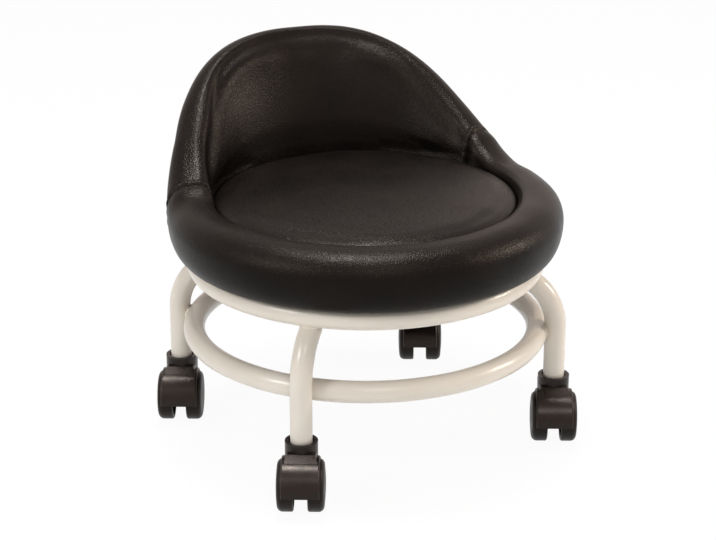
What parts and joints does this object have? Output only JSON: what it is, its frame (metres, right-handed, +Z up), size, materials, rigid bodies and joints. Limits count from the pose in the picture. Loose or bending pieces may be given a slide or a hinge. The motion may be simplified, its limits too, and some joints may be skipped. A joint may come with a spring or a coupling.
{
  "type": "rolling stool",
  "caption": "Low round stool with a wrap-round padded backrest, on a bent steel tube frame with two rings and swivelling twin-wheel casters.",
  "frame": {"origin": "on the floor, under the axis of the round seat", "axes": "+Z up, +Y towards the backrest, so the open front of the seat faces -Y"},
  "size_m": [0.3546, 0.3659, 0.3313],
  "materials": {
    "leather": "dark brown-black artificial leather with a fine pebble grain, semi-gloss",
    "frame_paint": "cream powder coat, glossy",
    "plywood": "raw plywood",
    "dust_cloth": "black non-woven cloth",
    "nylon": "brown-black moulded nylon, semi-gloss",
    "wheel_nylon": "black moulded nylon, satin",
    "zinc_steel": "bright zinc plate"
  },
  "bodies": {
    "frame_and_seat": {"upper_ring": "frame_paint", "lower_ring": "frame_paint", "ring_welds": "frame_paint", "seat_lugs": "frame_paint", "leg_front_left": "frame_paint", "leg_front_right": "frame_paint", "leg_rear_right": "frame_paint", "leg_rear_left": "frame_paint", "stem_socket_front_left": "nylon", "stem_socket_front_right": "nylon", "stem_socket_rear_right": "nylon", "stem_socket_rear_left": "nylon", "base_board": "plywood", "dust_cover": "dust_cloth", "board_nuts": "zinc_steel", "seat_screws": "zinc_steel", "seat_washers": "zinc_steel", "backrest_former": "plywood", "former_screws": "zinc_steel", "seat_cushion": "leather", "front_bolster": "leather", "backrest_pad": "leather"},
    "caster_front_left": {"caster_housing_front_left": "nylon", "caster_stem_front_left": "zinc_steel", "grip_ring_front_left": "zinc_steel", "axle_front_left": "zinc_steel"},
    "wheel_front_left_left": {"wheel_front_left_left": "wheel_nylon"},
    "wheel_front_left_right": {"wheel_front_left_right": "wheel_nylon"},
    "caster_front_right": {"caster_housing_front_right": "nylon", "caster_stem_front_right": "zinc_steel", "grip_ring_front_right": "zinc_steel", "axle_front_right": "zinc_steel"},
    "wheel_front_right_left": {"wheel_front_right_left": "wheel_nylon"},
    "wheel_front_right_right": {"wheel_front_right_right": "wheel_nylon"},
    "caster_rear_right": {"caster_housing_rear_right": "nylon", "caster_stem_rear_right": "zinc_steel", "grip_ring_rear_right": "zinc_steel", "axle_rear_right": "zinc_steel"},
    "wheel_rear_right_left": {"wheel_rear_right_left": "wheel_nylon"},
    "wheel_rear_right_right": {"wheel_rear_right_right": "wheel_nylon"},
    "caster_rear_left": {"caster_housing_rear_left": "nylon", "caster_stem_rear_left": "zinc_steel", "grip_ring_rear_left": "zinc_steel", "axle_rear_left": "zinc_steel"},
    "wheel_rear_left_left": {"wheel_rear_left_left": "wheel_nylon"},
    "wheel_rear_left_right": {"wheel_rear_left_right": "wheel_nylon"}
  },
  "joints": [
    {"name": "swivel_front_left", "type": "hinge", "parent": "frame_and_seat", "child": "caster_front_left", "pos_m": [-0.11174, -0.12945, 0.0535], "axis": [0, 0, 1], "continuous": true},
    {"name": "spin_front_left_left", "type": "hinge", "parent": "caster_front_left", "child": "wheel_front_left_left", "pos_m": [-0.11772, -0.1432, 0.0225], "axis": [-0.9171, 0.3987, 0], "continuous": true},
    {"name": "spin_front_left_right", "type": "hinge", "parent": "caster_front_left", "child": "wheel_front_left_right", "pos_m": [-0.11772, -0.1432, 0.0225], "axis": [-0.9171, 0.3987, 0], "continuous": true},
    {"name": "swivel_front_right", "type": "hinge", "parent": "frame_and_seat", "child": "caster_front_right", "pos_m": [0.14779, -0.08602, 0.0535], "axis": [0, 0, 1], "continuous": true},
    {"name": "spin_front_right_left", "type": "hinge", "parent": "caster_front_right", "child": "wheel_front_right_left", "pos_m": [0.14181, -0.09977, 0.0225], "axis": [-0.9171, 0.3987, 0], "continuous": true},
    {"name": "spin_front_right_right", "type": "hinge", "parent": "caster_front_right", "child": "wheel_front_right_right", "pos_m": [0.14181, -0.09977, 0.0225], "axis": [-0.9171, 0.3987, 0], "continuous": true},
    {"name": "swivel_rear_right", "type": "hinge", "parent": "frame_and_seat", "child": "caster_rear_right", "pos_m": [0.11174, 0.12945, 0.0535], "axis": [0, 0, 1], "continuous": true},
    {"name": "spin_rear_right_left", "type": "hinge", "parent": "caster_rear_right", "child": "wheel_rear_right_left", "pos_m": [0.10575, 0.11569, 0.0225], "axis": [-0.9171, 0.3987, 0], "continuous": true},
    {"name": "spin_rear_right_right", "type": "hinge", "parent": "caster_rear_right", "child": "wheel_rear_right_right", "pos_m": [0.10575, 0.11569, 0.0225], "axis": [-0.9171, 0.3987, 0], "continuous": true},
    {"name": "swivel_rear_left", "type": "hinge", "parent": "frame_and_seat", "child": "caster_rear_left", "pos_m": [-0.14779, 0.08602, 0.0535], "axis": [0, 0, 1], "continuous": true},
    {"name": "spin_rear_left_left", "type": "hinge", "parent": "caster_rear_left", "child": "wheel_rear_left_left", "pos_m": [-0.15377, 0.07226, 0.0225], "axis": [-0.9171, 0.3987, 0], "continuous": true},
    {"name": "spin_rear_left_right", "type": "hinge", "parent": "caster_rear_left", "child": "wheel_rear_left_right", "pos_m": [-0.15377, 0.07226, 0.0225], "axis": [-0.9171, 0.3987, 0], "continuous": true}
  ]
}
